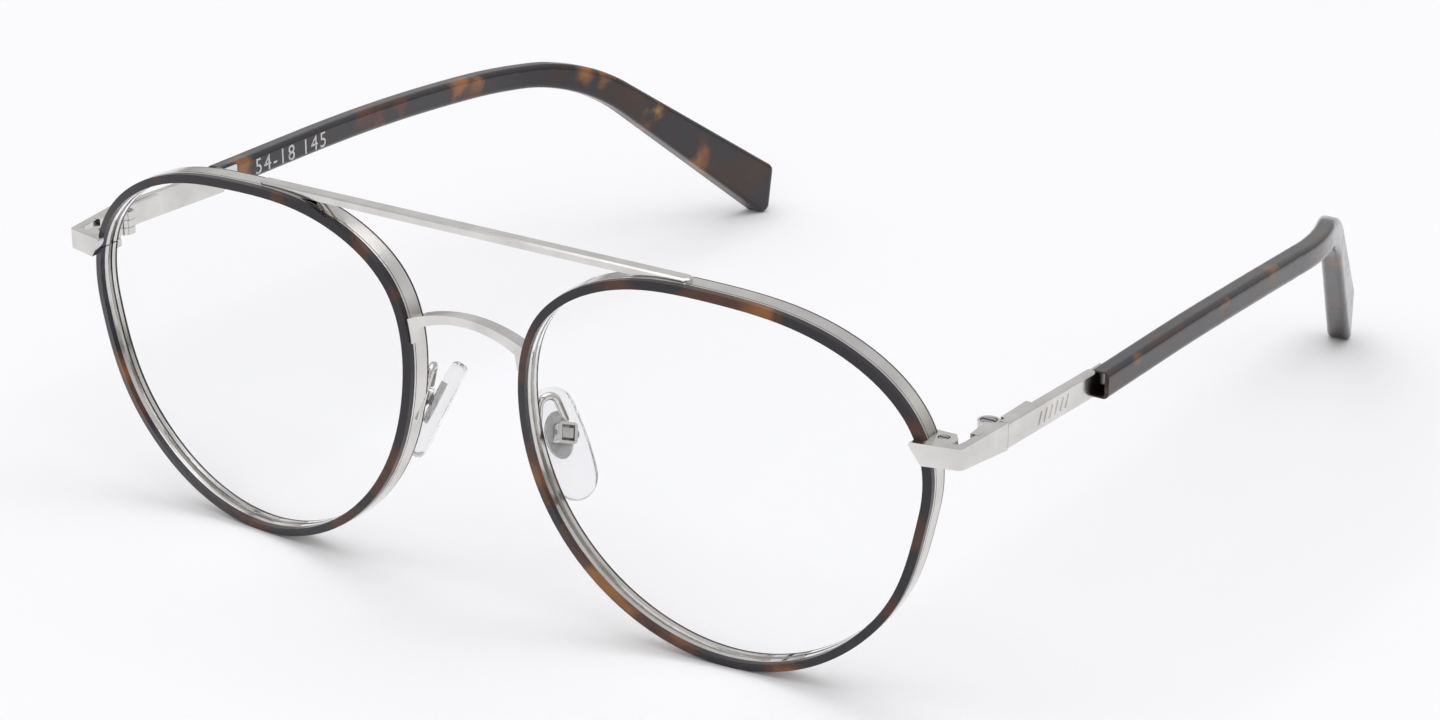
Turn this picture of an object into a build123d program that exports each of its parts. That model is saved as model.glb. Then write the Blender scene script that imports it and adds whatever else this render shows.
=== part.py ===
from build123d import *
from math import cos, radians, sin, tan
import os

# Double-bridge metal spectacles, size 54-18-145.
# Frame: +X to the wearer's left, +Y towards the ears, +Z up, millimetres.
# The rims and the temple tips stand on Z = 0, and Y = 0 is half way along.
# Every left-hand piece is modelled here, and its mirror image is the right-hand one.

os.makedirs("parts", exist_ok=True)

# ---------------------------------------------------------------- driving dimensions
overall_length = 148.44
front = -overall_length / 2          # Y of the front datum, at the lens centres

lens_centre_x = 36.34                # half the distance between the lens centres
lens_centre_z = 25.68
face_form = 4.4                      # each rim turns back towards the temple, degrees
pantoscopic_tilt = 2.6               # the lower edge of each rim goes back, degrees
base_curve = 135.0                   # radius of the lens and rim front

# Distance from the lens centre to the rim's outer edge, every 30 degrees, from the temple
# side over the top.
rim_radii = (27.85, 28.40, 25.05, 23.55, 26.15, 29.40, 27.55, 25.95, 25.40, 25.80, 26.20, 26.75)

rim_width = 1.15                     # seen from the front
trim_depth = 0.75                    # acetate ring inlaid on the front of the rim
eyewire_back = 3.0                   # depth of the metal eyewire's rear face
rear_trim_back = 3.3
trim_inset = 0.04
line_front, line_width, line_depth = 1.0, 0.12, 0.1
lens_thickness = 2.0
lens_front = 0.9
lens_tongue = 0.38                   # how far the lens edge enters the eyewire's groove
tongue_front, tongue_back = 1.5, 2.3
groove_clearance = 0.04
rim_split_angle = 17.0               # where the eyewire opens to take the lens
rim_split = 0.2

bar_half_length = 32.6
bar_depth, bar_height = 1.9, 1.0
bar_front, bar_top = front + 1.6, 50.0

bridge_half = 8.9
bridge_front, bridge_depth = front + 0.9, 1.9
bridge_thickness, bridge_foot_width = 1.1, 1.2
bridge_crown_z, bridge_shoulder_z, bridge_foot_z = 38.4, 36.5, 33.4
bridge_foot_lean = 0.35

plate_middle_z = 34.3                # middle height of the end piece
plate_thickness = 1.15
plate_rim_half, plate_corner_half = 1.65, 1.3
plate_start_x, plate_start_y = 61.8, front + 3.2
corner_x, corner_y = 68.3, front + 4.7

lock_half = 1.2
lock_start_x, lock_end_x, lock_back_y = 62.6, 66.3, front + 8.8
lock_screw_x, lock_screw_y = 64.5, front + 7.2
rim_screw_radius, rim_head_radius, rim_head_height = 0.4, 0.7, 0.5

pivot_x, pivot_y = 66.6, front + 13.9
barrel_radius, barrel_height = 1.35, 3.1
hinge_pin_radius, hinge_bore_radius = 0.55, 0.58
hinge_head_radius, hinge_head_height = 1.0, 0.45
knuckle_gap = 0.06
leaf_thickness = 0.8
front_leaf_length, rear_leaf_length = 4.8, 6.0

butt_gap = 0.05
butt_y = pivot_y + butt_gap          # the temple closes here against the end piece
temple_thickness, temple_height = 1.2, 3.4
temple_inner_x = 68.0
joint_y, joint_z = front + 35.5, 33.65   # the acetate tip starts here
socket_depth, socket_half, socket_outer_x = 3.0, 1.55, 70.3
tip_x = 69.5                         # middle of the tip's thickness at the joint
tip_thickness = 2.8
tip_front_half, tip_rear_half = 1.75, 3.7
arch_y = front + 77.0                # the straight part arches gently about here
arch_fall, arch_toe_in = 5.3, 3.1    # degrees down and degrees in
sag_radius, bow_radius = 540.0, 560.0
bend_y, ear_drop, ear_radius = front + 113.8, 38.7, 32.0
lean_y, ear_lean, lean_radius = front + 100.6, 20.0, 50.0
tip_end_y = front + 149.44
tip_end_cut = 4.6                    # the tip's end slopes back towards its upper corner
tip_corner_round = 1.2
tip_swell = 1.3                      # the tip's end is this many times as thick as its start
tip_round = 0.8
core_thickness, core_half, core_clearance = 0.9, 0.75, 0.03
core_inboard = 0.35                  # the core runs this far inside the tip's middle
recess_y, recess_count, recess_pitch = front + 21.5, 6, 1.3   # slanted cuts in the temple
recess_length, recess_width, recess_depth, recess_slant = 1.9, 0.45, 0.15, 25

pad_centre = Vector(10.1, front + 8.3, 21.7)
pad_mount = (1.1, 1.2)                # the box sits this far off the pad's centre, along its face
pad_splay, pad_frontal = 19.8, 28.3  # angles of the pad's face, degrees
pad_up = Vector(-0.39, 0.22, 0.89)   # along the pad, to its narrow end
pad_thickness, pad_round = 2.2, 0.8
pad_rock_gap = 0.35
insert_thickness, insert_half_width, insert_half_length = 0.5, 1.8, 3.0
box_width, box_length, box_height = 2.6, 2.7, 1.6
box_turn = 15                        # the box sits turned on the pad, degrees
box_slot_width, box_slot_length = 1.75, 2.0
boss_width, boss_length = 1.5, 1.2
pad_screw_radius, pad_bore_radius = 0.32, 0.35
pad_head_radius, pad_head_height = 0.55, 0.35
arm_radius, arm_bend_radius = 0.5, 1.3

# ---------------------------------------------------------------- reference planes
turn, tilt = radians(face_form), radians(pantoscopic_tilt)
lens_u = Vector(cos(turn), sin(turn) * cos(tilt), sin(turn) * sin(tilt))       # to the temple
lens_back = Vector(-sin(turn), cos(turn) * cos(tilt), cos(turn) * sin(tilt))   # to the eye
lens_plane = Plane(origin=(lens_centre_x, front, lens_centre_z), x_dir=lens_u, z_dir=-lens_back)
lens_v = lens_plane.y_dir                                                      # upwards
sphere_centre = lens_plane.origin + lens_back * base_curve
blank_reach = 9                      # the outlines start this far in front of the lens plane
outline_steps = 48                   # points in an outline moved in from the rim's edge


def save(piece, name):
    """Write one finished piece."""
    piece.label = name
    export_step(piece, f"parts/{name}.step")


def save_pair(piece, name):
    """Write the wearer's left piece and its mirror image on the right."""
    save(piece, f"left_{name}")
    with BuildPart() as other:
        mirror(piece, about=Plane.YZ)
    save(other.part, f"right_{name}")


# ---------------------------------------------------------------- rims and lenses
with BuildLine() as rim_outline:
    Spline(
        *(
            (radius * cos(radians(30 * i)), radius * sin(radians(30 * i)))
            for i, radius in enumerate(rim_radii)
        ),
        periodic=True,
    )


def rim_face(inset):
    """The rim's outline, moved in from the outer edge, as a face in front of the rim."""
    outline, points = rim_outline.wire(), []
    for step in range(outline_steps):
        spot, along = outline @ (step / outline_steps), outline % (step / outline_steps)
        points.append((spot.X - along.Y * inset, spot.Y + along.X * inset))
    with BuildSketch(lens_plane.offset(blank_reach)) as face:
        with BuildLine():
            Spline(*points, periodic=True)
        make_face()
    return face.sketch


def prism(face):
    """The outline run straight back through the rim."""
    with BuildPart() as block:
        extrude(face, amount=2 * blank_reach, dir=lens_back)
    return block.part


def base_shell(front_depth, back_depth):
    """A patch of hollow sphere between two depths behind the base curve."""
    half_angle = 15
    start = (-lens_back).rotate(Axis((0, 0, 0), lens_v), -half_angle)
    strip_plane = Plane(origin=sphere_centre, x_dir=start, z_dir=start.cross(lens_v))
    with BuildPart() as shell:
        with BuildSketch(strip_plane):
            with BuildLine():
                outer = CenterArc((0, 0), base_curve - front_depth, -half_angle, 2 * half_angle)
                inner = CenterArc((0, 0), base_curve - back_depth, -half_angle, 2 * half_angle)
                Line(outer @ 0, inner @ 0)
                Line(outer @ 1, inner @ 1)
            make_face()
        revolve(axis=Axis(sphere_centre, lens_v), revolution_arc=2 * half_angle)
    return shell.part


def curved_plate(inset, front_depth, back_depth):
    """A plate with the rim's outline, between two depths of the base curve."""
    with BuildPart() as plate:
        add(prism(rim_face(inset)))
        add(base_shell(front_depth, back_depth), mode=Mode.INTERSECT)
    return plate.part


def curved_ring(outer_inset, inner_inset, front_depth, back_depth):
    """A ring that follows the rim's outline and the base curve."""
    with BuildPart() as ring:
        add(curved_plate(outer_inset, front_depth, back_depth))
        add(prism(rim_face(inner_inset)), mode=Mode.SUBTRACT)
    return ring.part


# Slot through the rim and its lock on the temple side, where the rim opens to take the lens.
slot_dir = lens_u * cos(radians(rim_split_angle)) + lens_v * sin(radians(rim_split_angle))
slot_plane = Plane(origin=lens_plane.offset(blank_reach).origin, x_dir=slot_dir, z_dir=-lens_back)
with BuildPart() as rim_slot:
    with BuildSketch(slot_plane):
        with Locations((rim_radii[0] + 2, 0)):
            Rectangle(10, rim_split)
    extrude(amount=-2 * blank_reach)

with BuildPart() as eyewire:
    add(curved_ring(0, rim_width, trim_depth, eyewire_back))
    add(
        curved_plate(
            rim_width - lens_tongue - groove_clearance,
            tongue_front - groove_clearance,
            tongue_back + groove_clearance,
        ),
        mode=Mode.SUBTRACT,
    )
    # fine line turned into the outside of the band
    add(curved_ring(-1, line_depth, line_front, line_front + line_width), mode=Mode.SUBTRACT)
    add(rim_slot.part, mode=Mode.SUBTRACT)

with BuildPart() as front_trim:
    add(curved_ring(trim_inset, rim_width, 0, trim_depth))
    add(rim_slot.part, mode=Mode.SUBTRACT)

with BuildPart() as rear_trim:
    add(curved_ring(trim_inset, rim_width, eyewire_back, rear_trim_back))
    add(rim_slot.part, mode=Mode.SUBTRACT)

with BuildPart() as lens:
    add(curved_plate(rim_width + groove_clearance, lens_front, lens_front + lens_thickness))
    add(curved_plate(rim_width - lens_tongue, tongue_front, tongue_back))

save_pair(eyewire.part, "eyewire")
save_pair(front_trim.part, "front_trim")
save_pair(rear_trim.part, "rear_trim")
save_pair(lens.part, "lens")

# The whole rim in outline: everything brazed to a rim is cut to this shape.
with BuildPart() as rim_solid:
    add(curved_plate(0, 0, rear_trim_back))

# ---------------------------------------------------------------- top bar
with BuildPart() as top_bar:
    with BuildSketch(Plane.XY.offset(bar_top - bar_height)) as bar_plan:
        with Locations((0, bar_front + bar_depth / 2)):
            Rectangle(2 * bar_half_length, bar_depth)
        fillet(bar_plan.vertices(), bar_depth * 0.45)
    extrude(amount=bar_height)
    chamfer(top_bar.faces().sort_by(Axis.Z)[-1].edges(), 0.2)
    add(rim_solid.part, mode=Mode.SUBTRACT)
    mirror(rim_solid.part, about=Plane.YZ, mode=Mode.SUBTRACT)
save(top_bar.part, "top_bar")

# ---------------------------------------------------------------- nose bridge
with BuildPart() as nose_bridge:
    with BuildSketch(Plane.XZ.offset(-bridge_front)):
        with BuildLine() as half_bridge:
            inner_x = bridge_half - bridge_foot_width
            inner_z = bridge_shoulder_z - bridge_thickness
            ThreePointArc(
                (-bridge_half, bridge_shoulder_z), (0, bridge_crown_z), (bridge_half, bridge_shoulder_z)
            )
            ThreePointArc(
                (-inner_x, inner_z), (0, bridge_crown_z - bridge_thickness), (inner_x, inner_z)
            )
            for side in (-1, 1):
                Polyline(
                    (side * bridge_half, bridge_shoulder_z),
                    (side * (bridge_half + bridge_foot_lean), bridge_foot_z),
                    (side * (inner_x + bridge_foot_lean), bridge_foot_z),
                    (side * inner_x, inner_z),
                )
        make_face()
    extrude(amount=-bridge_depth)
    add(rim_solid.part, mode=Mode.SUBTRACT)
    mirror(rim_solid.part, about=Plane.YZ, mode=Mode.SUBTRACT)
save(nose_bridge.part, "nose_bridge")

# ---------------------------------------------------------------- end piece
plate_outer_x = temple_inner_x + temple_thickness
plate_end_y = butt_y - butt_gap

with BuildPart() as end_piece:
    with BuildSketch(Plane.XY.offset(plate_middle_z - temple_height / 2)) as end_plan:
        with BuildLine():
            Polyline(
                (plate_start_x, plate_start_y),
                (corner_x, corner_y),
                (plate_outer_x, plate_end_y),
                (temple_inner_x, plate_end_y),
                (corner_x - plate_thickness, corner_y + plate_thickness),
                (plate_start_x, plate_start_y + plate_thickness),
                close=True,
            )
        make_face()
        corners = end_plan.vertices().filter_by_position(Axis.X, corner_x - 1.3, corner_x + 0.1)
        fillet(corners, 0.8)
    extrude(amount=temple_height)
    # seen from the front, the plate narrows from the rim to the corner
    with BuildSketch(Plane.XZ.offset(-front)) as end_front:
        with BuildLine():
            Polyline(
                (plate_start_x - 0.2, plate_middle_z + plate_rim_half),
                (plate_start_x + 1.9, plate_middle_z - plate_rim_half),
                (corner_x - 1, plate_middle_z - plate_corner_half),
                (corner_x + 2, plate_middle_z - temple_height),
                (corner_x + 2, plate_middle_z + temple_height),
                (corner_x - 1, plate_middle_z + plate_corner_half),
                close=True,
            )
        make_face()
        fillet(end_front.vertices().group_by(Axis.X)[0], 0.5)
    extrude(amount=-30, mode=Mode.INTERSECT)
    # seen from the side, it widens again from the corner to the temple
    with BuildSketch(Plane.YZ):
        with BuildLine():
            Polyline(
                (front, plate_middle_z - plate_rim_half),
                (corner_y, plate_middle_z - plate_corner_half),
                (plate_end_y, plate_middle_z - temple_height / 2),
                (plate_end_y, plate_middle_z + temple_height / 2),
                (corner_y, plate_middle_z + plate_corner_half),
                (front, plate_middle_z + plate_rim_half),
                close=True,
            )
        make_face()
    extrude(amount=100, mode=Mode.INTERSECT)
    add(rim_solid.part, mode=Mode.SUBTRACT)
save_pair(end_piece.part, "end_piece")

# ---------------------------------------------------------------- rim lock
with BuildPart() as lock_blank:
    with BuildSketch(Plane.XY.offset(plate_middle_z - lock_half)) as lock_plan:
        with BuildLine():
            Polyline(
                (lock_start_x, lock_back_y),
                (lock_end_x - 1.0, lock_back_y),
                (lock_end_x, lock_back_y - 1.4),
                (lock_end_x, corner_y),
                (lock_start_x, corner_y),
                close=True,
            )
        make_face()
    extrude(amount=2 * lock_half)
    add(rim_solid.part, mode=Mode.SUBTRACT)
    add(end_piece.part, mode=Mode.SUBTRACT)
    add(rim_slot.part, mode=Mode.SUBTRACT)

screw_seat = Plane((lock_screw_x, lock_screw_y, plate_middle_z + lock_half))
lock_pieces = lock_blank.solids().sort_by(SortBy.VOLUME)[-2:].sort_by(Axis.Z)

with BuildPart() as lock_upper:
    add(lock_pieces[-1])
    with Locations(screw_seat):
        CounterBoreHole(
            rim_screw_radius + 0.05, rim_head_radius + 0.05, rim_head_height, 2 * lock_half
        )

with BuildPart() as lock_lower:
    add(lock_pieces[0])
    with Locations(screw_seat):
        Hole(rim_screw_radius, 2 * lock_half)


def slotted_screw(seat, head_radius, head_height, shank_radius, length):
    """Cheese-head screw whose head top lies on the seat plane and whose shank goes down."""
    with BuildPart() as screw:
        with BuildSketch(seat):
            Circle(head_radius)
        extrude(amount=-head_height)
        chamfer(screw.faces().sort_by(Axis(seat.origin, seat.z_dir))[-1].edges(), head_height * 0.25)
        with BuildSketch(seat.offset(-head_height)):
            Circle(shank_radius)
        extrude(amount=head_height - length)
        with BuildSketch(seat):
            Rectangle(2 * head_radius, head_radius * 0.32)
        extrude(amount=-head_height * 0.5, mode=Mode.SUBTRACT)
    return screw.part


save_pair(lock_upper.part, "rim_lock_upper")
save_pair(lock_lower.part, "rim_lock_lower")
save_pair(
    slotted_screw(screw_seat, rim_head_radius, rim_head_height, rim_screw_radius, 2 * lock_half - 0.3),
    "rim_screw",
)

# ---------------------------------------------------------------- hinge
knuckle_height = (barrel_height - 2 * knuckle_gap) / 3
barrel_bottom = plate_middle_z - barrel_height / 2
barrel_top = barrel_bottom + barrel_height
middle_bottom = barrel_bottom + knuckle_height + knuckle_gap
leaf_half = barrel_height / 2 - 0.1

# The leaf on the end piece carries the top and bottom knuckles.
with BuildPart() as front_leaf:
    with BuildSketch(Plane.XY.offset(barrel_bottom)):
        with Locations((pivot_x, pivot_y)):
            Circle(barrel_radius)
        with BuildLine():
            Polyline(
                (pivot_x, pivot_y),
                (pivot_x, pivot_y - barrel_radius),
                (temple_inner_x - leaf_thickness - 0.3, pivot_y - front_leaf_length),
                (temple_inner_x, pivot_y - front_leaf_length),
                (temple_inner_x, pivot_y),
                close=True,
            )
        make_face()
    extrude(amount=barrel_height)
    with BuildSketch(Plane.XY.offset(middle_bottom - knuckle_gap)):
        with Locations((pivot_x, pivot_y)):
            Circle(barrel_radius + 0.15)
    extrude(amount=knuckle_height + 2 * knuckle_gap, mode=Mode.SUBTRACT)
    add(end_piece.part, mode=Mode.SUBTRACT)
    with Locations((pivot_x, pivot_y, barrel_top)):
        CounterBoreHole(
            hinge_bore_radius, hinge_head_radius + 0.05, hinge_head_height, 2 * barrel_height
        )

# The leaf on the temple carries the middle knuckle.
with BuildPart() as rear_leaf:
    with BuildSketch(Plane.XY.offset(middle_bottom)):
        with Locations((pivot_x, pivot_y)):
            Circle(barrel_radius)
        with BuildLine():
            Polyline(
                (pivot_x, pivot_y),
                (temple_inner_x, pivot_y + 0.1),
                (temple_inner_x, pivot_y + 3),
                (pivot_x - 0.4, pivot_y + 1.2),
                close=True,
            )
        make_face()
    extrude(amount=knuckle_height)
    with BuildSketch(Plane.XY.offset(plate_middle_z - leaf_half)) as strip_plan:
        with Locations((temple_inner_x - leaf_thickness / 2, pivot_y + 1.7 + rear_leaf_length / 2)):
            Rectangle(leaf_thickness, rear_leaf_length)
    extrude(amount=2 * leaf_half)
    with Locations((pivot_x, pivot_y, barrel_top)):
        Hole(hinge_bore_radius, 2 * barrel_height)

save_pair(front_leaf.part, "hinge_front_leaf")
save_pair(rear_leaf.part, "hinge_rear_leaf")
save_pair(
    slotted_screw(
        Plane((pivot_x, pivot_y, barrel_top)),
        hinge_head_radius,
        hinge_head_height,
        hinge_pin_radius,
        barrel_height - 0.1,
    ),
    "hinge_screw",
)


# ---------------------------------------------------------------- temple and tip
def bent_bar(thickness, front_half, rear_half, middle_x, start_y, end_y, end_cut=0, swell=1):
    """A bar that runs back along the head, then bends down and in behind the ear."""
    drop, lean_in = radians(ear_drop), radians(ear_lean)
    bend_z = joint_z - (bend_y - arch_y) * tan(radians(arch_fall))
    end_z = bend_z - (end_y - bend_y) * tan(drop)
    lean_x = middle_x - (lean_y - arch_y) * tan(radians(arch_toe_in))
    last_y = end_y + rear_half
    last_x = lean_x - (last_y - lean_y) * tan(lean_in)
    with BuildPart() as bar:
        with BuildSketch(Plane.YZ) as side_view:
            with BuildLine():
                edges = [
                    FilletPolyline(
                        (start_y, joint_z + up * front_half),
                        (arch_y, joint_z + up * front_half),
                        (bend_y + up * front_half * tan(drop / 2), bend_z + up * front_half),
                        (
                            end_y + up * sin(drop) * rear_half - cut * cos(drop),
                            end_z + up * cos(drop) * rear_half + cut * sin(drop),
                        ),
                        radius=(sag_radius, ear_radius),
                    )
                    for up, cut in ((1, end_cut), (-1, 0))
                ]
                Line(edges[0] @ 0, edges[1] @ 0)
                Line(edges[0] @ 1, edges[1] @ 1)
            make_face()
            if end_cut:
                ends = side_view.vertices()
                fillet([ends.sort_by(Axis.X)[-1], ends.sort_by(Axis.Y)[0]], tip_corner_round)
        extrude(amount=100)
        with BuildSketch(Plane.XY.offset(-5)):
            with BuildLine():
                sides = [
                    FilletPolyline(
                        (middle_x + side, start_y),
                        (middle_x + side, arch_y),
                        (lean_x + side, lean_y),
                        (last_x + side * swell / cos(lean_in), last_y),
                        radius=(bow_radius, lean_radius),
                    )
                    for side in (-thickness / 2, thickness / 2)
                ]
                Line(sides[0] @ 0, sides[1] @ 0)
                Line(sides[0] @ 1, sides[1] @ 1)
            make_face()
        extrude(amount=60, mode=Mode.INTERSECT)
    return bar.part


def bent_core(grow):
    """The flat wire inside the tip, grown on every side by this much."""
    return bent_bar(
        core_thickness + 2 * grow,
        core_half + grow,
        core_half + grow,
        tip_x - core_inboard,
        joint_y + socket_depth - 1,
        tip_end_y - 8,
    )


with BuildPart() as temple:
    with BuildSketch(Plane.YZ.offset(temple_inner_x)):
        with BuildLine():
            socket_end, tongue_half = joint_y + socket_depth - 0.1, socket_half - 0.05
            Polyline(
                (butt_y, plate_middle_z - temple_height / 2),
                (butt_y, plate_middle_z + temple_height / 2),
                (joint_y, joint_z + temple_height / 2),
                (joint_y, joint_z + tongue_half),
                (socket_end, joint_z + tongue_half),
                (socket_end, joint_z - tongue_half),
                (joint_y, joint_z - tongue_half),
                (joint_y, joint_z - temple_height / 2),
                close=True,
            )
        make_face()
    extrude(amount=temple_thickness)
    long_edges = temple.edges().filter_by(lambda edge: edge.length > 20)
    chamfer(long_edges.group_by(Axis.X)[-1], 0.25)
    # row of slanted cuts in the outer face
    with BuildSketch(Plane.YZ.offset(temple_inner_x + temple_thickness)):
        for cut in range(recess_count):
            with Locations((recess_y + cut * recess_pitch, (plate_middle_z + joint_z) / 2)):
                SlotOverall(recess_length, recess_width, rotation=90 - recess_slant)
    extrude(amount=-recess_depth, mode=Mode.SUBTRACT)
    add(bent_core(0))

with BuildPart() as temple_tip:
    add(
        bent_bar(
            tip_thickness,
            tip_front_half,
            tip_rear_half,
            tip_x,
            joint_y,
            tip_end_y,
            tip_end_cut,
            tip_swell,
        )
    )
    fillet(temple_tip.edges().filter_by(lambda edge: edge.center().Y > joint_y + 1), tip_round)
    add(bent_core(core_clearance), mode=Mode.SUBTRACT)
    with BuildSketch(Plane.XZ.offset(-joint_y)):
        with Locations(((temple_inner_x - core_clearance + socket_outer_x) / 2, joint_z)):
            Rectangle(socket_outer_x - temple_inner_x + core_clearance, 2 * socket_half)
    extrude(amount=-socket_depth, mode=Mode.SUBTRACT)

save_pair(temple.part, "temple")
save_pair(temple_tip.part, "temple_tip")

# ---------------------------------------------------------------- nose pads
pad_normal = Vector(
    -cos(radians(pad_splay)) * cos(radians(pad_frontal)),
    sin(radians(pad_splay)),
    -cos(radians(pad_splay)) * sin(radians(pad_frontal)),
)
# local x to the front, local y up along the pad, local z into the nose
pad_plane = Plane(origin=pad_centre, x_dir=pad_up.cross(pad_normal), z_dir=pad_normal)
box_top = -pad_thickness / 2 - pad_rock_gap
box_plane = pad_plane.shift_origin(pad_plane.from_local_coords((*pad_mount, 0))).offset(box_top)
box_plane = Plane(
    origin=box_plane.origin,
    x_dir=box_plane.x_dir.rotate(Axis((0, 0, 0), pad_normal), box_turn),
    z_dir=pad_normal,
)
rock_plane = Plane(
    origin=box_plane.offset(-box_height / 2).origin,
    x_dir=box_plane.y_dir,
    z_dir=-box_plane.x_dir,
)

with BuildPart() as pad_insert:
    with BuildSketch(pad_plane.offset(-pad_thickness / 2 + 0.3)):
        with Locations(pad_mount):
            Ellipse(insert_half_width, insert_half_length)
    extrude(amount=insert_thickness)
    with BuildSketch(box_plane.offset(0.5 - box_top - pad_thickness / 2)):
        Rectangle(boss_width, boss_length)
    extrude(amount=-(box_height + pad_rock_gap + 0.4))
    with Locations(rock_plane):
        Hole(pad_bore_radius, 5)

with BuildPart() as nose_pad:
    with BuildSketch(pad_plane.offset(-pad_thickness / 2)):
        with BuildLine():
            Spline(
                (1.2, 7.3),
                (-1.2, 6.3),
                (-2.2, 3.8),
                (-3.2, -2.5),
                (-2.7, -5.8),
                (0.1, -7.2),
                (2.3, -5.6),
                (3.1, -1.7),
                (3.3, 3.0),
                (2.9, 6.2),
                periodic=True,
            )
        make_face()
    extrude(amount=pad_thickness)
    fillet(nose_pad.edges(), pad_round)
    add(pad_insert.part, mode=Mode.SUBTRACT)

with BuildPart() as pad_box:
    with BuildSketch(box_plane) as box_plan:
        Rectangle(box_width, box_length)
        fillet(box_plan.vertices(), 0.5)
        Rectangle(box_slot_width, box_slot_length, mode=Mode.SUBTRACT)
    extrude(amount=-box_height)
    with Locations(rock_plane):
        Hole(pad_screw_radius, 5)

with BuildPart() as pad_screw:
    with BuildSketch(rock_plane.offset(-box_width / 2 + 0.2)):
        Circle(pad_screw_radius)
    extrude(amount=box_width - 0.2)
    with BuildSketch(rock_plane.offset(box_width / 2)):
        Circle(pad_head_radius)
    extrude(amount=pad_head_height)
    with BuildSketch(rock_plane.offset(box_width / 2 + pad_head_height)):
        Rectangle(2 * pad_head_radius, 0.25)
    extrude(amount=-pad_head_height / 2, mode=Mode.SUBTRACT)

arm_reach = box_length / 2 + arm_radius * 0.6
arm_end = box_plane.offset(-box_height / 2).origin + box_plane.y_dir * arm_reach
with BuildPart() as pad_arm:
    with BuildLine() as arm_path:
        FilletPolyline(
            (9.3, front + 3.0, 22.3),
            (8.6, front + 4.9, 28.4),
            (9.3, front + 7.0, 28.7),
            arm_end,
            radius=arm_bend_radius,
        )
    route = arm_path.wire()
    with BuildSketch(Plane(origin=route @ 0, z_dir=route % 0)):
        Circle(arm_radius)
    sweep(path=route)
    add(rim_solid.part, mode=Mode.SUBTRACT)
    add(pad_box.part, mode=Mode.SUBTRACT)

save_pair(pad_insert.part, "pad_insert")
save_pair(nose_pad.part, "nose_pad")
save_pair(pad_box.part, "pad_box")
save_pair(pad_screw.part, "pad_screw")
save_pair(pad_arm.part, "pad_arm")
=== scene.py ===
from math import cos, radians, sin

import bpy
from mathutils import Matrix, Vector


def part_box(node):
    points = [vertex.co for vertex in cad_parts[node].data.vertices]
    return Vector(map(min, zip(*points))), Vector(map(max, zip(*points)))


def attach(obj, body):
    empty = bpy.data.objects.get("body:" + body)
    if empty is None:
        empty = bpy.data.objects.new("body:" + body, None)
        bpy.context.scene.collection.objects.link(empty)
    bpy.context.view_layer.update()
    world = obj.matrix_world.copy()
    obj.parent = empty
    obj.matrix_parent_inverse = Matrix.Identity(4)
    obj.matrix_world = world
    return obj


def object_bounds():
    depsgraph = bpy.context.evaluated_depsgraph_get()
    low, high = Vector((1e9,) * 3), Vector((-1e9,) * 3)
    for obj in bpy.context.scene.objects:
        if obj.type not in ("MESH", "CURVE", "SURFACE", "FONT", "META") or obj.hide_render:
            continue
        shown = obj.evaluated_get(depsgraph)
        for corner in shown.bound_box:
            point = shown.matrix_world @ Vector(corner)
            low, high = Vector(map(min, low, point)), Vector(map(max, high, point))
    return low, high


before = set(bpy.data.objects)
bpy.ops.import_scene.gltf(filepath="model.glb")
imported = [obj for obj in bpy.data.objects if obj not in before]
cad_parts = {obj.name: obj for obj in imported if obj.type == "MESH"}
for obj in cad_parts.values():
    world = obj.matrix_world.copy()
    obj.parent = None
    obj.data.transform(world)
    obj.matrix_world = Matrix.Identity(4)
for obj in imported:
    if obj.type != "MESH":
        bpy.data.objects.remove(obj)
cad_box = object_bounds()

bl_info = {
    "name": "Double-bridge spectacles",
    "version": (1, 0, 0),
    "blender": (4, 5, 0),
    "location": "3D View > Sidebar > Spectacles",
    "description": "Finishes and stages a pair of double-bridge metal spectacles",
    "category": "Object",
}

MM = 0.001
SIDES = ("left", "right")
ACETATE_IOR = 1.49
FLOOR_DROP = 0.02 * MM      # the floor lies this far under the rims, so that the two never flicker

# The figures on the right tip: the tip's inner face, where they start behind the joint, their
# middle height and how far they stand off the face.
TIP_INNER_X = -68.1 * MM
MARK_START = 6.8 * MM
MARK_MIDDLE_Z = 33.65 * MM
MARK_STAND_OFF = 0.006 * MM

# The point that the camera looks at, from the middle of the object's footprint.
TARGET_X, TARGET_Y, TARGET_Z = -1.15 * MM, -14.77 * MM, 13.48 * MM

# How strongly the patches show on each tip.
PATCH_STRENGTH = {"left": 0.38, "right": 0.90}

# Amber and red-brown patches in the acetate tips: side, place along X, Y, Z in millimetres,
# radius in millimetres and which of the three patch colours it shows.
TIP_PATCHES = {
    "right": (
        (-68.1, -34.4, 34.2, 2.6, "amber"),
        (-68.1, -7.6, 34.2, 2.8, "red"),
        (-68.1, -4.0, 32.8, 2.2, "red"),
        (-68.0, 1.2, 34.0, 2.0, "red"),
        (-67.0, 14.9, 33.4, 2.6, "amber"),
        (-66.5, 18.2, 33.0, 2.2, "amber"),
        (-66.5, 17.0, 31.4, 2.4, "red"),
        (-63.0, 40.0, 29.6, 2.4, "amber"),
        (-62.0, 43.5, 28.2, 2.2, "amber"),
        (-60.0, 51.8, 21.8, 2.9, "yellow"),
        (-60.0, 50.5, 19.4, 2.3, "amber"),
        (-55.6, 61.0, 14.6, 2.4, "red"),
        (-56.0, 61.0, 11.8, 3.0, "amber"),
        (-55.0, 65.2, 13.0, 2.4, "red"),
        (-51.5, 72.6, 8.4, 1.6, "amber"),
    ),
    "left": (
        (70.9, -30.7, 34.6, 1.4, "amber"),
        (70.9, -20.2, 34.8, 1.6, "red"),
        (70.9, -7.8, 34.8, 1.4, "amber"),
        (70.6, 7.7, 34.2, 1.8, "amber"),
        (69.6, 20.0, 32.4, 1.8, "red"),
        (62.0, 48.0, 22.0, 3.0, "amber"),
        (56.0, 60.0, 12.0, 3.2, "red"),
    ),
}


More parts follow.
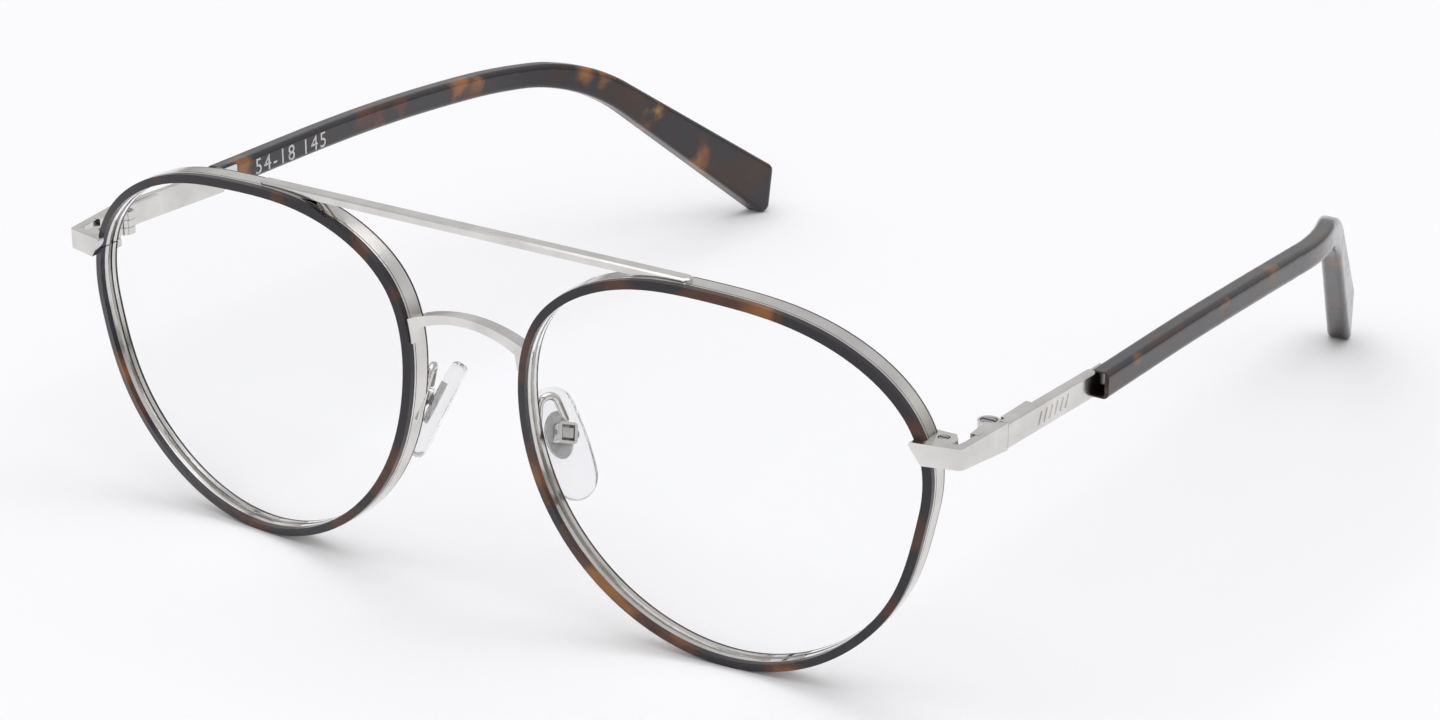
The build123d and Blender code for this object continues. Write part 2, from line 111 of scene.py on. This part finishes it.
def colour_prop(label, about, default):
    """A colour that the user can change."""
    return bpy.props.FloatVectorProperty(
        name=label, description=about, subtype="COLOR", size=3, min=0.0, max=1.0, default=default
    )


class MetalSettings(bpy.types.PropertyGroup):
    """Colours and polish of the metal pieces."""

    colour: colour_prop("Metal", "Colour of the polished metal", (0.73, 0.715, 0.69))
    roughness: bpy.props.FloatProperty(
        name="Roughness",
        description="Polish of the metal",
        default=0.15,
        min=0.0,
        max=1.0,
        subtype="FACTOR",
    )
    screw_colour: colour_prop("Screws", "Colour of the screws", (0.42, 0.42, 0.43))
    edge: bpy.props.FloatProperty(
        name="Edge", description="Width of the broken edges", default=0.00009, unit="LENGTH", precision=6
    )


class AcetateSettings(bpy.types.PropertyGroup):
    """Colours of the acetate rings and tips."""

    dark: colour_prop("Dark", "Ground colour of the tips", (0.012, 0.009, 0.012))
    rim_dark: colour_prop("Ring dark", "Ground colour of the rings", (0.014, 0.011, 0.016))
    brown: colour_prop("Brown", "Brown clouds", (0.070, 0.024, 0.011))
    red: colour_prop("Red-brown", "Red-brown patches", (0.085, 0.022, 0.010))
    amber: colour_prop("Amber", "Amber patches", (0.300, 0.115, 0.022))
    yellow: colour_prop("Yellow", "Lightest patch", (0.800, 0.500, 0.090))
    roughness: bpy.props.FloatProperty(
        name="Roughness",
        description="Polish of the acetate",
        default=0.16,
        min=0.0,
        max=1.0,
        subtype="FACTOR",
    )


class ClearSettings(bpy.types.PropertyGroup):
    """Lenses and nose pads."""

    lens: colour_prop("Lens", "Tint of the lenses", (0.985, 0.990, 0.990))
    silicone: colour_prop("Silicone", "Tint of the nose pads", (0.93, 0.93, 0.94))
    insert: colour_prop("Insert", "Plate inside the nose pads", (0.44, 0.43, 0.415))


class MarkSettings(bpy.types.PropertyGroup):
    """Size numbers on the tip."""

    text: bpy.props.StringProperty(
        name="Size", description="Eye, bridge and temple size", default="54-18 145"
    )
    height: bpy.props.FloatProperty(
        name="Height", description="Height of the figures", default=0.0024, unit="LENGTH", precision=5
    )
    ink: colour_prop("Ink", "Colour of the printed figures", (0.62, 0.62, 0.63))


class StageSettings(bpy.types.PropertyGroup):
    """Floor, lights and camera."""

    floor: colour_prop("Floor", "Colour of the floor", (0.95, 0.95, 0.95))
    sky: colour_prop("Sky", "Light from straight above", (0.80, 0.79, 0.84))
    horizon: colour_prop("Horizon", "Light from the sides, which the metal mirrors", (0.50, 0.48, 0.46))
    ambient: bpy.props.FloatProperty(
        name="Ambient", description="Strength of the soft light", default=0.72
    )
    azimuth: bpy.props.FloatProperty(
        name="Azimuth",
        description="Camera's turn to the wearer's left",
        default=radians(33.563),
        subtype="ANGLE",
    )
    elevation: bpy.props.FloatProperty(
        name="Elevation", description="Camera's height angle", default=radians(21.583), subtype="ANGLE"
    )
    distance: bpy.props.FloatProperty(
        name="Distance", description="Camera to its target", default=0.52268, unit="LENGTH"
    )
    lens: bpy.props.FloatProperty(name="Lens", description="Focal length in millimetres", default=95.52)


# ---------------------------------------------------------------- node helpers
class Tree:
    """Short calls for building one node tree."""

    def __init__(self, tree):
        self.tree = tree

    def node(self, kind, inputs=(), **settings):
        made = self.tree.nodes.new(kind)
        for key, value in settings.items():
            setattr(made, key, value)
        for key, value in dict(inputs).items():
            if isinstance(value, bpy.types.NodeSocket):
                self.tree.links.new(value, made.inputs[key])
            else:
                made.inputs[key].default_value = value
        return made

    def link(self, source, target):
        self.tree.links.new(source, target)

    def ramp(self, value, stops):
        """A colour ramp with these (place, colour) stops."""
        made = self.node("ShaderNodeValToRGB", {"Fac": value})
        for place, _ in stops[1:-1]:
            made.color_ramp.elements.new(place)
        for element, (place, colour) in zip(made.color_ramp.elements, stops):
            element.position = place
            element.color = (*colour, 1.0)
        return made.outputs["Color"]

    def mix(self, factor, first, second):
        """Blend of two colours."""
        made = self.node("ShaderNodeMix", data_type="RGBA")
        for place, value in ((0, factor), (6, first), (7, second)):
            socket = made.inputs[place]
            if isinstance(value, bpy.types.NodeSocket):
                self.link(value, socket)
            elif isinstance(value, (int, float)):
                socket.default_value = value
            else:
                socket.default_value = (*value, 1.0)
        return made.outputs[2]

    def spread(self, value, low, high, out_low=0.0, out_high=1.0):
        """A value moved from one range to another, with soft ends."""
        made = self.node(
            "ShaderNodeMapRange",
            {"Value": value, "From Min": low, "From Max": high, "To Min": out_low, "To Max": out_high},
            interpolation_type="SMOOTHSTEP",
        )
        return made.outputs["Result"]


def new_group(name, inputs, outputs):
    """An empty shader group with named sockets."""
    group = bpy.data.node_groups.new(name, "ShaderNodeTree")
    for label, kind, default in inputs:
        socket = group.interface.new_socket(label, in_out="INPUT", socket_type=kind)
        socket.default_value = default
    for label, kind in outputs:
        group.interface.new_socket(label, in_out="OUTPUT", socket_type=kind)
    tree = Tree(group)
    return group, tree, tree.node("NodeGroupInput").outputs, tree.node("NodeGroupOutput").inputs


def grain_group():
    """Fine tool marks: a changing roughness and a height."""
    found = bpy.data.node_groups.get("tool marks")
    if found:
        return found
    group, tree, given, made = new_group(
        "tool marks",
        (
            ("Density", "NodeSocketVector", (1.0, 1.0, 1.0)),
            ("Low", "NodeSocketFloat", 0.2),
            ("High", "NodeSocketFloat", 0.3),
        ),
        (("Roughness", "NodeSocketFloat"), ("Height", "NodeSocketFloat")),
    )
    place = tree.node("ShaderNodeTexCoord").outputs["Object"]
    scaled = tree.node("ShaderNodeVectorMath", {0: place, 1: given["Density"]}, operation="MULTIPLY")
    marks = tree.node("ShaderNodeTexNoise", {"Vector": scaled.outputs[0], "Scale": 1.0, "Detail": 3.0})
    clouds = tree.node("ShaderNodeTexNoise", {"Vector": place, "Scale": 160.0, "Detail": 2.0})
    both = tree.node(
        "ShaderNodeMath", {0: marks.outputs["Fac"], 1: clouds.outputs["Fac"]}, operation="MULTIPLY"
    )
    rough = tree.node(
        "ShaderNodeMapRange",
        {"Value": both.outputs[0], "From Min": 0.1, "From Max": 0.45},
    )
    tree.link(given["Low"], rough.inputs["To Min"])
    tree.link(given["High"], rough.inputs["To Max"])
    tree.link(rough.outputs["Result"], made["Roughness"])
    tree.link(marks.outputs["Fac"], made["Height"])
    return group


def cloud_group():
    """Clouded acetate: two colours drifting into a dark ground."""
    found = bpy.data.node_groups.get("clouded acetate")
    if found:
        return found
    group, tree, given, made = new_group(
        "clouded acetate",
        (
            ("Dark", "NodeSocketColor", (0.0, 0.0, 0.0, 1.0)),
            ("Brown", "NodeSocketColor", (0.0, 0.0, 0.0, 1.0)),
            ("Amber", "NodeSocketColor", (0.0, 0.0, 0.0, 1.0)),
            ("Scale", "NodeSocketFloat", 90.0),
            ("Brown from", "NodeSocketFloat", 0.48),
            ("Amber from", "NodeSocketFloat", 0.62),
        ),
        (("Color", "NodeSocketColor"), ("Mask", "NodeSocketFloat")),
    )
    place = tree.node("ShaderNodeTexCoord").outputs["Object"]
    cloud = tree.node(
        "ShaderNodeTexNoise",
        {"Vector": place, "Scale": given["Scale"], "Detail": 2.5, "Roughness": 0.55, "Distortion": 0.5},
    ).outputs["Fac"]
    masks = []
    for start in ("Brown from", "Amber from"):
        end = tree.node("ShaderNodeMath", {0: given[start], 1: 0.10}, operation="ADD").outputs[0]
        soft = tree.node("ShaderNodeMapRange", {"Value": cloud}, interpolation_type="SMOOTHSTEP")
        tree.link(given[start], soft.inputs["From Min"])
        tree.link(end, soft.inputs["From Max"])
        masks.append(soft.outputs["Result"])
    ground = tree.mix(masks[0], given["Dark"], given["Brown"])
    tree.link(tree.mix(masks[1], ground, given["Amber"]), made["Color"])
    tree.link(masks[0], made["Mask"])
    return group


def new_material(name):
    """An empty material with a Principled shader; returns (material, tree, shader)."""
    material = bpy.data.materials.new(name)
    material.use_nodes = True
    material.node_tree.nodes.clear()
    tree = Tree(material.node_tree)
    shader = tree.node("ShaderNodeBsdfPrincipled")
    output = tree.node("ShaderNodeOutputMaterial")
    tree.link(shader.outputs["BSDF"], output.inputs["Surface"])
    return material, tree, shader


def add_grain(tree, shader, density, low, high, bump):
    """Tool marks in the shader's roughness and normal."""
    grain = tree.node("ShaderNodeGroup", node_tree=grain_group())
    grain.inputs["Density"].default_value = density
    grain.inputs["Low"].default_value = low
    grain.inputs["High"].default_value = high
    tree.link(grain.outputs["Roughness"], shader.inputs["Roughness"])
    relief = tree.node(
        "ShaderNodeBump", {"Height": grain.outputs["Height"], "Strength": bump, "Distance": 0.00002}
    )
    tree.link(relief.outputs["Normal"], shader.inputs["Normal"])


def metal_material(name, colour, density, low, high, bump):
    """Polished metal with tool marks that run along the piece, and slightly duller clouds."""
    material, tree, shader = new_material(name)
    shader.inputs["Metallic"].default_value = 1.0
    place = tree.node("ShaderNodeTexCoord").outputs["Object"]
    clouds = tree.node("ShaderNodeTexNoise", {"Vector": place, "Scale": 220.0, "Detail": 3.0})
    dull = tuple(channel * 0.86 for channel in colour)
    shades = tree.ramp(clouds.outputs["Fac"], ((0.35, dull), (0.65, colour)))
    tree.link(shades, shader.inputs["Base Color"])
    add_grain(tree, shader, density, low, high, bump)
    return material


def clear_material(name, colour, ior, low, high, transmission):
    """A see-through solid that lets the light through to the floor."""
    material, tree, shader = new_material(name)
    shader.inputs["Base Color"].default_value = (*colour, 1.0)
    shader.inputs["IOR"].default_value = ior
    shader.inputs["Transmission Weight"].default_value = transmission
    add_grain(tree, shader, (900.0, 900.0, 900.0), low, high, 0.02)
    output = next(node for node in material.node_tree.nodes if node.type == "OUTPUT_MATERIAL")
    shadow = tree.node("ShaderNodeLightPath").outputs["Is Shadow Ray"]
    through = tree.node("ShaderNodeBsdfTransparent", {"Color": (0.97, 0.97, 0.97, 1.0)})
    blend = tree.node("ShaderNodeMixShader")
    tree.link(shadow, blend.inputs[0])
    tree.link(shader.outputs["BSDF"], blend.inputs[1])
    tree.link(through.outputs["BSDF"], blend.inputs[2])
    tree.link(blend.outputs["Shader"], output.inputs["Surface"])
    return material


def give(material, *nodes):
    """Puts one material on every slot of these CAD pieces."""
    for name in nodes:
        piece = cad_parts[name]
        if not piece.material_slots:
            piece.data.materials.append(material)
        for slot in piece.material_slots:
            slot.link = "OBJECT"
            slot.material = material


def soften(width, *nodes):
    """Breaks the sharp edges of these CAD pieces."""
    for name in nodes:
        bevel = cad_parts[name].modifiers.new("broken edge", "BEVEL")
        bevel.width = width
        bevel.segments = 2
        bevel.limit_method = "ANGLE"
        bevel.angle_limit = radians(35)
        bevel.harden_normals = True


def both(*names):
    """The left and right nodes of these pieces."""
    return [f"{side}_{name}" for side in SIDES for name in names]


# ---------------------------------------------------------------- operators
class SPECTACLES_OT_metal(bpy.types.Operator):
    """Gives the metal front, hinges, pad arms and temples their polish"""

    bl_idname = "spectacles.metal"
    bl_label = "Metal pieces"

    def execute(self, context):
        look = context.scene.spectacles_metal
        colour = tuple(look.colour)
        rough = look.roughness
        even, lengthwise = (2600.0, 2600.0, 2600.0), (5200.0, 420.0, 5200.0)
        polished = metal_material("polished metal", colour, even, rough * 0.7, rough, 0.05)
        brushed = metal_material("temple metal", colour, lengthwise, rough, rough * 1.5, 0.25)
        front = ["top_bar", "nose_bridge"] + both("end_piece", "rim_lock_upper", "rim_lock_lower")
        small = both("hinge_front_leaf", "hinge_rear_leaf", "pad_box", "pad_arm", "eyewire")
        give(polished, *front, *small)
        give(brushed, *both("temple"))
        soften(look.edge * 1.6, "top_bar", "nose_bridge", *both("end_piece"))
        soften(look.edge, *both("rim_lock_upper", "rim_lock_lower", "pad_box", "temple"))
        return {"FINISHED"}


class SPECTACLES_OT_screws(bpy.types.Operator):
    """Gives the hinge, rim and pad screws their steel"""

    bl_idname = "spectacles.screws"
    bl_label = "Screws"

    def execute(self, context):
        look = context.scene.spectacles_metal
        steel = metal_material(
            "screw steel", tuple(look.screw_colour), (7000.0, 7000.0, 900.0), 0.18, 0.34, 0.2
        )
        give(steel, *both("hinge_screw", "rim_screw", "pad_screw"))
        return {"FINISHED"}


class SPECTACLES_OT_rings(bpy.types.Operator):
    """Gives the rings on the front and back of the rims their acetate"""

    bl_idname = "spectacles.rings"
    bl_label = "Rim rings"

    def execute(self, context):
        look = context.scene.spectacles_acetate
        for name, nodes, amber in (
            ("tortoise ring", both("front_trim"), 0.60),
            ("dark ring", both("rear_trim"), 0.74),
        ):
            material, tree, shader = new_material(name)
            cloud = tree.node("ShaderNodeGroup", node_tree=cloud_group())
            cloud.inputs["Dark"].default_value = (*look.rim_dark, 1.0)
            cloud.inputs["Brown"].default_value = (*look.brown, 1.0)
            cloud.inputs["Amber"].default_value = (*(0.8 * channel for channel in look.amber), 1.0)
            cloud.inputs["Scale"].default_value = 78.0
            cloud.inputs["Brown from"].default_value = 0.49
            cloud.inputs["Amber from"].default_value = amber
            tree.link(cloud.outputs["Color"], shader.inputs["Base Color"])
            shader.inputs["IOR"].default_value = ACETATE_IOR
            add_grain(tree, shader, (1500.0, 1500.0, 1500.0), look.roughness, look.roughness * 1.6, 0.03)
            give(material, *nodes)
        return {"FINISHED"}


class SPECTACLES_OT_tips(bpy.types.Operator):
    """Gives the temple tips their dark acetate with amber and red-brown patches"""

    bl_idname = "spectacles.tips"
    bl_label = "Temple tips"

    def execute(self, context):
        look = context.scene.spectacles_acetate
        colours = {"amber": look.amber, "red": look.red, "yellow": look.yellow}
        for side in SIDES:
            material, tree, shader = new_material(f"{side} tip acetate")
            place = tree.node("ShaderNodeTexCoord").outputs["Object"]
            cloud = tree.node("ShaderNodeGroup", node_tree=cloud_group())
            cloud.inputs["Dark"].default_value = (*look.dark, 1.0)
            cloud.inputs["Brown"].default_value = (*(0.35 * channel for channel in look.brown), 1.0)
            cloud.inputs["Amber"].default_value = (*(0.5 * channel for channel in look.brown), 1.0)
            cloud.inputs["Scale"].default_value = 110.0
            base = cloud.outputs["Color"]
            wander = tree.node("ShaderNodeTexNoise", {"Vector": place, "Scale": 330.0, "Detail": 2.0})
            shift = tree.node(
                "ShaderNodeVectorMath",
                {0: wander.outputs["Color"], 1: (0.5, 0.5, 0.5)},
                operation="SUBTRACT",
            )
            moved = tree.node(
                "ShaderNodeVectorMath",
                {0: shift.outputs[0], 1: (0.004, 0.004, 0.004), 2: place},
                operation="MULTIPLY_ADD",
            ).outputs[0]
            for x, y, z, radius, kind in TIP_PATCHES[side]:
                apart = tree.node(
                    "ShaderNodeVectorMath",
                    {0: moved, 1: (x * MM, y * MM, z * MM)},
                    operation="DISTANCE",
                ).outputs["Value"]
                reach = radius * MM
                mask = tree.spread(apart, reach * 0.2, reach * 1.1, PATCH_STRENGTH[side], 0.0)
                base = tree.mix(mask, base, tuple(colours[kind]))
            tree.link(base, shader.inputs["Base Color"])
            shader.inputs["IOR"].default_value = ACETATE_IOR
            shader.inputs["Coat Weight"].default_value = 0.35
            shader.inputs["Coat Roughness"].default_value = 0.08
            add_grain(tree, shader, (1300.0, 500.0, 1300.0), look.roughness, look.roughness * 1.9, 0.04)
            give(material, f"{side}_temple_tip")
        return {"FINISHED"}


class SPECTACLES_OT_lenses(bpy.types.Operator):
    """Gives the lenses their clear plastic"""

    bl_idname = "spectacles.lenses"
    bl_label = "Lenses"

    def execute(self, context):
        look = context.scene.spectacles_clear
        give(clear_material("clear lens", tuple(look.lens), 1.06, 0.0, 0.02, 1.0), *both("lens"))
        return {"FINISHED"}


class SPECTACLES_OT_pads(bpy.types.Operator):
    """Gives the nose pads their silicone and the plates inside them their grey"""

    bl_idname = "spectacles.pads"
    bl_label = "Nose pads"

    def execute(self, context):
        look = context.scene.spectacles_clear
        give(clear_material("silicone", tuple(look.silicone), 1.22, 0.05, 0.14, 0.92), *both("nose_pad"))
        material, tree, shader = new_material("pad plate")
        place = tree.node("ShaderNodeTexCoord").outputs["Object"]
        specks = tree.node("ShaderNodeTexNoise", {"Vector": place, "Scale": 1800.0, "Detail": 3.0})
        colour = tuple(look.insert)
        paler = tuple(min(1.0, 1.25 * channel) for channel in colour)
        shades = tree.ramp(specks.outputs["Fac"], ((0.35, colour), (0.7, paler)))
        tree.link(shades, shader.inputs["Base Color"])
        add_grain(tree, shader, (2400.0, 2400.0, 2400.0), 0.45, 0.6, 0.1)
        give(material, *both("pad_insert"))
        return {"FINISHED"}


class SPECTACLES_OT_size_mark(bpy.types.Operator):
    """Prints the size on the inside of the right tip"""

    bl_idname = "spectacles.size_mark"
    bl_label = "Size mark"

    def execute(self, context):
        look = context.scene.spectacles_mark
        curve = bpy.data.curves.new("size mark", "FONT")
        curve.body = look.text
        curve.size = look.height * 1.35
        curve.space_character = 1.2
        curve.extrude = 0.000004
        curve.resolution_u = 4
        source = bpy.data.objects.new("size mark source", curve)
        context.scene.collection.objects.link(source)
        context.view_layer.update()
        mesh = bpy.data.meshes.new_from_object(source.evaluated_get(context.evaluated_depsgraph_get()))
        bpy.data.objects.remove(source)
        # the figures stand on the tip's inner face and run back from the joint
        joint_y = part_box("right_temple_tip")[0][1]
        base_z = MARK_MIDDLE_Z - look.height * 0.5
        start = Vector((TIP_INNER_X + MARK_STAND_OFF, joint_y + MARK_START, base_z))
        for vertex in mesh.vertices:
            along, up, out = vertex.co
            vertex.co = start + Vector((out, along, up))
        mark = bpy.data.objects.new("size_mark", mesh)
        context.scene.collection.objects.link(mark)
        material, tree, shader = new_material("printed figures")
        place = tree.node("ShaderNodeTexCoord").outputs["Object"]
        worn = tree.node("ShaderNodeTexNoise", {"Vector": place, "Scale": 2500.0, "Detail": 2.0})
        ink = tuple(look.ink)
        thin = tuple(0.6 * channel for channel in ink)
        shades = tree.ramp(worn.outputs["Fac"], ((0.3, thin), (0.5, ink)))
        tree.link(shades, shader.inputs["Base Color"])
        shader.inputs["Roughness"].default_value = 0.55
        mesh.materials.clear()
        mesh.materials.append(material)
        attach(mark, "right_arm")
        return {"FINISHED"}


class SPECTACLES_OT_stage(bpy.types.Operator):
    """Sets the pale floor, the soft light and the camera"""

    bl_idname = "spectacles.stage"
    bl_label = "Stage"

    def execute(self, context):
        look = context.scene.spectacles_stage
        scene = context.scene
        # floor
        reach, steps = 6.0, 2
        spots = [
            (reach * (2 * i / steps - 1), reach * (2 * j / steps - 1), -FLOOR_DROP)
            for j in range(steps + 1)
            for i in range(steps + 1)
        ]
        row = steps + 1
        faces = [
            (j * row + i, j * row + i + 1, (j + 1) * row + i + 1, (j + 1) * row + i)
            for j in range(steps)
            for i in range(steps)
        ]
        mesh = bpy.data.meshes.new("floor")
        mesh.from_pydata(spots, [], faces)
        floor = bpy.data.objects.new("floor", mesh)
        scene.collection.objects.link(floor)
        material, tree, shader = new_material("pale floor")
        place = tree.node("ShaderNodeTexCoord").outputs["Object"]
        clouds = tree.node("ShaderNodeTexNoise", {"Vector": place, "Scale": 3.0, "Detail": 2.0})
        pale = tuple(look.floor)
        paler = tuple(min(1.0, 1.01 * channel) for channel in pale)
        shades = tree.ramp(clouds.outputs["Fac"], ((0.3, pale), (0.7, paler)))
        tree.link(shades, shader.inputs["Base Color"])
        shader.inputs["Roughness"].default_value = 0.9
        shader.inputs["Specular IOR Level"].default_value = 0.1
        mesh.materials.append(material)
        # soft light from all round, greyer from the sides and a little greyer straight above
        world = bpy.data.worlds.new("soft studio")
        scene.world = world
        world.use_nodes = True
        world.node_tree.nodes.clear()
        tree = Tree(world.node_tree)
        way = tree.node("ShaderNodeTexCoord").outputs["Generated"]
        height = tree.node("ShaderNodeSeparateXYZ", {0: way}).outputs["Z"]
        white = (1.0, 1.0, 1.0)
        glow = tree.ramp(height, ((0.0, tuple(look.horizon)), (0.3, white), (0.9, tuple(look.sky))))
        light = tree.node("ShaderNodeBackground", {"Color": glow, "Strength": look.ambient})
        tree.link(light.outputs[0], tree.node("ShaderNodeOutputWorld").inputs["Surface"])
        for name, spot, size, power in (
            ("top light", (0.0, 0.02, 1.2), 1.7, 9.0),
            ("front light", (0.5, -1.3, 0.7), 0.8, 1.2),
        ):
            lamp = bpy.data.lights.new(name, "AREA")
            lamp.size = size
            lamp.energy = power
            holder = bpy.data.objects.new(name, lamp)
            holder.location = spot
            holder.rotation_euler = (-Vector(spot)).to_track_quat("-Z", "Y").to_euler()
            scene.collection.objects.link(holder)
        # camera
        low, high = cad_box
        target = Vector((TARGET_X, (low[1] + high[1]) / 2 + TARGET_Y, TARGET_Z))
        back = Vector(
            (
                sin(look.azimuth) * cos(look.elevation),
                -cos(look.azimuth) * cos(look.elevation),
                sin(look.elevation),
            )
        )
        camera = bpy.data.cameras.new("camera")
        camera.lens = look.lens
        camera.sensor_width = 36.0
        camera.clip_start = 0.01
        holder = bpy.data.objects.new("camera", camera)
        holder.location = target + back * look.distance
        holder.rotation_euler = (-back).to_track_quat("-Z", "Y").to_euler()
        scene.collection.objects.link(holder)
        scene.camera = holder
        scene.view_settings.view_transform = "Standard"
        return {"FINISHED"}


class SPECTACLES_PT_sidebar(bpy.types.Panel):
    """Lists the steps that finish the spectacles"""

    bl_label = "Spectacles"
    bl_idname = "SPECTACLES_PT_sidebar"
    bl_space_type = "VIEW_3D"
    bl_region_type = "UI"
    bl_category = "Spectacles"

    def draw(self, context):
        for operator in OPERATORS:
            self.layout.operator(operator.bl_idname)


OPERATORS = (
    SPECTACLES_OT_metal,
    SPECTACLES_OT_screws,
    SPECTACLES_OT_rings,
    SPECTACLES_OT_tips,
    SPECTACLES_OT_lenses,
    SPECTACLES_OT_pads,
    SPECTACLES_OT_size_mark,
    SPECTACLES_OT_stage,
)
SETTINGS = (
    ("spectacles_metal", MetalSettings),
    ("spectacles_acetate", AcetateSettings),
    ("spectacles_clear", ClearSettings),
    ("spectacles_mark", MarkSettings),
    ("spectacles_stage", StageSettings),
)


def register():
    """Makes the settings, the steps and the panel known to Blender."""
    for name, group in SETTINGS:
        bpy.utils.register_class(group)
        setattr(bpy.types.Scene, name, bpy.props.PointerProperty(type=group))
    for operator in OPERATORS:
        bpy.utils.register_class(operator)
    bpy.utils.register_class(SPECTACLES_PT_sidebar)


def unregister():
    """Takes them away again."""
    bpy.utils.unregister_class(SPECTACLES_PT_sidebar)
    for operator in reversed(OPERATORS):
        bpy.utils.unregister_class(operator)
    for name, group in reversed(SETTINGS):
        delattr(bpy.types.Scene, name)
        bpy.utils.unregister_class(group)


def main():
    """Runs every step in order."""
    register()
    bpy.ops.spectacles.metal()
    bpy.ops.spectacles.screws()
    bpy.ops.spectacles.rings()
    bpy.ops.spectacles.tips()
    bpy.ops.spectacles.lenses()
    bpy.ops.spectacles.pads()
    bpy.ops.spectacles.size_mark()
    bpy.ops.spectacles.stage()


if __name__ == "__main__":
    main()
